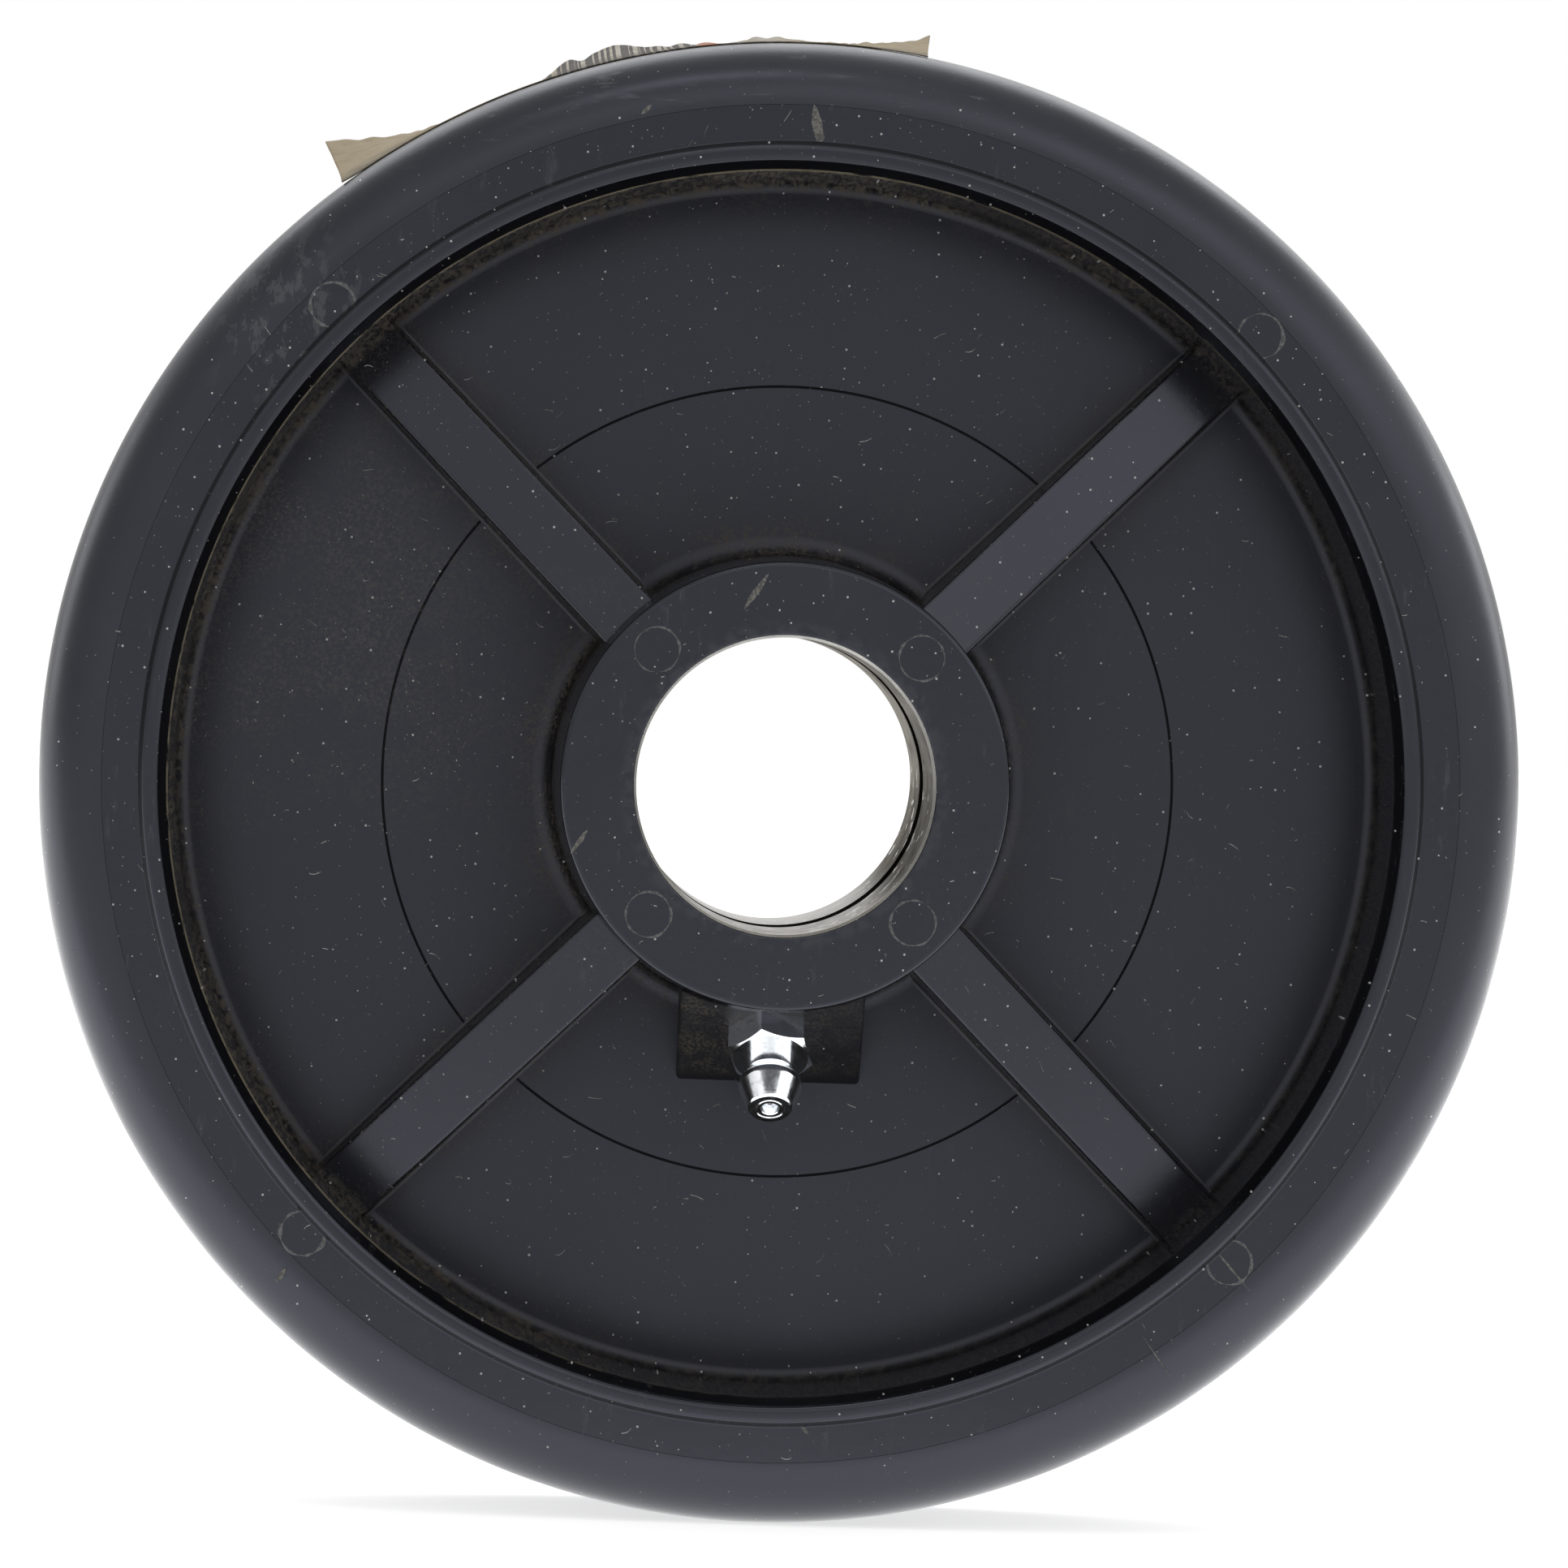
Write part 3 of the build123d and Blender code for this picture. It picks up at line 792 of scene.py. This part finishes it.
# Scars on the near side: pixels of both ends in the photograph, height of the face, width and rise
SCARS = {
    "rim_scar": ((1003, 128), (1013, 186), RIM_HALF, 1.2, 0.09),
    "hub_scar_above": ((949, 704), (915, 753), HUB_HALF, 0.7, 0.05),
    "hub_scar_left": ((725, 1021), (703, 1052), HUB_HALF, 0.6, 0.05),
    "rim_nick_left": ((340, 1580), (352, 1562), RIM_HALF, 0.5, 0.05),
    "rim_nick_below": ((985, 1752), (996, 1768), RIM_HALF, 0.5, 0.05),
    "rim_nick_above": ((790, 141), (803, 129), RIM_HALF, 0.45, 0.05),
    "rim_flash_right": ((1489, 1530), (1541, 1592), RIM_HALF, 0.25, 0.04),
    "rim_crack": ((1398, 1632), (1446, 1702), RIM_HALF, 0.12, 0.02),
}


def scar(name, first, last, height, width, rise, material):
    """A ragged lens of scraped plastic, proud of its face in the middle and sunk in at its edge."""
    rows, columns, sunk = 9, 25, 0.05
    start, end = on_near_side(first, height), on_near_side(last, height)
    along = end - start
    across = along.cross(Vector((0, 1, 0))).normalized()
    vertices = []
    for face in (-1, 1):
        for i in range(rows):
            lateral = 2 * i / (rows - 1) - 1
            for j in range(columns):
                share = j / (columns - 1)
                bulge = math.sin(math.pi * share) ** 0.7
                spot = start + along * share
                ragged = 1 + 0.35 * noise.noise(spot * 1.7 + across * lateral)
                spot = spot + across * (lateral * bulge * ragged * width / 2)
                proud = rise * bulge * (1 - lateral**2) * (0.6 + 0.8 * abs(noise.noise(spot * 4)))
                vertices.append(spot + Vector((0, sunk if face > 0 else 0.01 - proud, 0)))
    faces = grid_faces(rows, columns) + grid_faces(rows, columns, start=rows * columns)
    outline = [j for j in range(columns)]
    outline += [i * columns + columns - 1 for i in range(1, rows)]
    outline += [(rows - 1) * columns + j for j in range(columns - 2, -1, -1)]
    outline += [i * columns for i in range(rows - 2, 0, -1)]
    for k, a in enumerate(outline):
        b = outline[(k + 1) % len(outline)]
        faces.append((a, b, b + rows * columns, a + rows * columns))
    dress(build(name, vertices, faces, material, 60))


def face_height(radius, turn):
    """Height of the moulding at a place where dust can lie, or None where it is too steep."""
    off_rib = abs((math.degrees(turn) % 90) - 45)
    beside_rib = radius * math.sin(math.radians(off_rib))
    if 15.8 < radius < HUB_RADIUS - 0.6:
        return HUB_HALF
    if 26.5 < radius < 61.5 and beside_rib < RIB_WIDTH / 2 - 0.5:
        share = (radius - HUB_RADIUS) / (WALL_BASE_RADIUS - HUB_RADIUS)
        return RIB_HUB_TOP + (RIB_RIM_TOP - RIB_HUB_TOP) * share
    if 26.5 < radius < DISH_START and beside_rib > RIB_WIDTH / 2 + 1.5:
        on_boss = abs(radius * math.cos(turn)) < BOSS_WIDTH / 2 + 1 and radius * math.sin(turn) < 0 and radius < 34
        return None if on_boss else WEB_HALF
    if 66.3 < radius < WHEEL_RADIUS - SHOULDER_RADIUS:
        return RIM_HALF
    return None


def lint(material, flakes=900, fibres=240):
    """Dust flakes and short curled fibres lying on the mouldings, more on the near side."""
    vertices, faces = [], []

    def add_tube(path, thickness):
        first = len(vertices)
        for point in path:
            for k in range(4):
                spoke = math.pi / 2 * k
                vertices.append(point + Vector((0, math.cos(spoke), math.sin(spoke))) * thickness)
        faces.extend(grid_faces(len(path), 4, close_columns=True, start=first))
        faces.append((first, first + 1, first + 2, first + 3))
        end = first + 4 * (len(path) - 1)
        faces.append((end, end + 1, end + 2, end + 3))

    placed = 0
    while placed < flakes + fibres:
        radius = math.sqrt(random.uniform(16**2, 70**2))
        turn = random.uniform(0, 2 * math.pi)
        side = 1 if random.random() < 0.25 else -1
        height = face_height(radius, turn)
        size = random.random()
        heading = random.uniform(0, 2 * math.pi)
        curl = random.uniform(-1.6, 1.6)
        if height is None:
            continue
        placed += 1
        centre = Vector((radius * math.cos(turn), side * height, radius * math.sin(turn)))
        if placed <= flakes:
            reach = 0.05 + 0.08 * size**3
            first = len(vertices)
            around = [centre + Vector((math.cos(heading + a) * reach * s, 0, math.sin(heading + a) * reach))
                      for a, s in ((0, 1), (1.4, 0.7), (3, 1.2), (4.4, 0.8))]
            vertices.extend(around + [centre + Vector((0, side * 0.03, 0)), centre - Vector((0, side * 0.03, 0))])
            for k in range(4):
                faces.append((first + k, first + (k + 1) % 4, first + 4))
                faces.append((first + k, first + (k + 1) % 4, first + 5))
        else:
            length = 0.4 + 1.3 * size**2
            steps = 7
            path, point = [], centre
            for k in range(steps):
                bearing = heading + curl * k / steps
                path.append(point)
                point = point + Vector((math.cos(bearing), 0, math.sin(bearing))) * (length / steps)
            add_tube(path, 0.035)
    dress(build("lint_on_core", vertices, faces, material, 80))


# Stage

def ray_kinds(tree):
    """1 for rays from the camera, and 1 for rays off or through the gloss of a surface."""
    rays = tree.nodes.new("ShaderNodeLightPath")
    camera_ray = Field(tree, rays.outputs["Is Camera Ray"])
    glossy = Field(tree, rays.outputs["Is Glossy Ray"]).most(Field(tree, rays.outputs["Is Transmission Ray"]))
    return camera_ray, glossy


def pale_floor():
    """White floor that keeps the wheel's soft shadow."""
    material = bpy.data.materials.new("pale_floor")
    material.use_nodes = True
    tree = material.node_tree
    shader = tree.nodes["Principled BSDF"]
    shader.inputs["Base Color"].default_value = (0.85, 0.85, 0.85, 1)
    shader.inputs["Roughness"].default_value = 0.9
    shader.inputs["Specular IOR Level"].default_value = 0.0
    camera_ray, glossy = ray_kinds(tree)
    coordinates = tree.nodes.new("ShaderNodeTexCoord")
    split = tree.nodes.new("ShaderNodeSeparateXYZ")
    tree.links.new(coordinates.outputs["Object"], split.inputs[0])
    near = Field(tree, split.outputs[1]).ramp(-0.14, -0.05, 0.68, 1.7)
    glow = camera_ray * FLOOR_GLOW + glossy * (1 - camera_ray) * near
    shader.inputs["Emission Color"].default_value = (1, 1, 1, 1)
    tree.links.new(glow.socket, shader.inputs["Emission Strength"])
    corners = [(-6000, -6000, 0), (6000, -6000, 0), (6000, 6000, 0), (-6000, 6000, 0)]
    floor = build("floor", corners, [(0, 1, 2, 3)], material)
    floor.location.z = -WHEEL_RADIUS * MM


def soft_tent():
    """White surroundings, dimmer in reflections towards the viewer's side and to left and right."""
    world = bpy.data.worlds.new("soft_tent")
    bpy.context.scene.world = world
    world.use_nodes = True
    tree = world.node_tree
    coordinates = tree.nodes.new("ShaderNodeTexCoord")
    split = tree.nodes.new("ShaderNodeSeparateXYZ")
    tree.links.new(coordinates.outputs["Generated"], split.inputs[0])
    x, y, z = [Field(tree, out) for out in split.outputs]
    front = (y * -1).most(0)
    camera_ray, glossy = ray_kinds(tree)
    level = front.ramp(0.1, 0.8, 1.0, 1.1) * front.ramp(0.95, 0.99, 1.0, 0.85) * (1 - 0.25 * x * x + 0.12 * x)
    level = level * (1 - z.ramp(0.0, 0.12) * 0.08)
    level = level * (1 + z.ramp(0.1, 0.3) * (1 - z.ramp(0.5, 0.7)) * x.ramp(-0.3, 0.3, 0.3, 0.9))
    strength = camera_ray + (1 - camera_ray) * (glossy * level + (1 - glossy) * TENT_DIFFUSE)
    background = tree.nodes["Background"]
    background.inputs["Color"].default_value = (1, 1, 1, 1)
    tree.links.new(strength.socket, background.inputs["Strength"])


def lamps():
    """Soft lamps: name, place, side lengths and power in watts."""
    lights = (
        ("strip_above", (-130, -640, 1100), (420, 60), 0.7),
        ("back_above", (0, 700, 900), (1500, 600), 5.0),
        ("back_left", (-1100, 500, 300), (500, 500), 1.2),
        ("back_right", (1100, 500, 300), (500, 500), 1.6),
    )
    for name, place, (width, height), power in lights:
        data = bpy.data.lights.new(name, "AREA")
        data.shape = "RECTANGLE"
        data.size = width * MM
        data.size_y = height * MM
        data.energy = power
        light = bpy.data.objects.new(name, data)
        light.location = Vector(place) * MM
        light.rotation_euler = (-light.location).to_track_quat("-Z", "Y").to_euler()
        bpy.context.scene.collection.objects.link(light)


def camera():
    data = bpy.data.cameras.new("camera")
    data.sensor_width = SENSOR
    data.lens = FOCAL_PIXELS / IMAGE_SIZE * SENSOR
    data.clip_start = 0.05
    data.clip_end = 30
    piece = bpy.data.objects.new("camera", data)
    piece.matrix_world = CAMERA
    bpy.context.scene.collection.objects.link(piece)
    bpy.context.scene.camera = piece


camera()
pale_floor()
soft_tent()
lamps()

black = core_plastic()
zinc = zinc_plate()
steel = race_steel()
core_body(black)
ribs(black)
boss(black)
pin_marks(scraped_plastic("flash_plastic", (0.12, 0.12, 0.125)))
worn = scraped_plastic("worn_plastic", (0.15, 0.145, 0.13))
for name, (first, last, height, width, rise) in SCARS.items():
    scar(name, first, last, height, width, rise, worn)
lint(lint_finish())
tread(tread_rubber())
races(steel)
hexagon(zinc)
nipple(zinc)
check_ball(zinc)
label(label_paper())

for node, material in (("fitting_spring", steel),):
    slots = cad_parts[node].data.materials
    slots.clear()
    slots.append(material)

bpy.context.scene.view_settings.view_transform = "Standard"
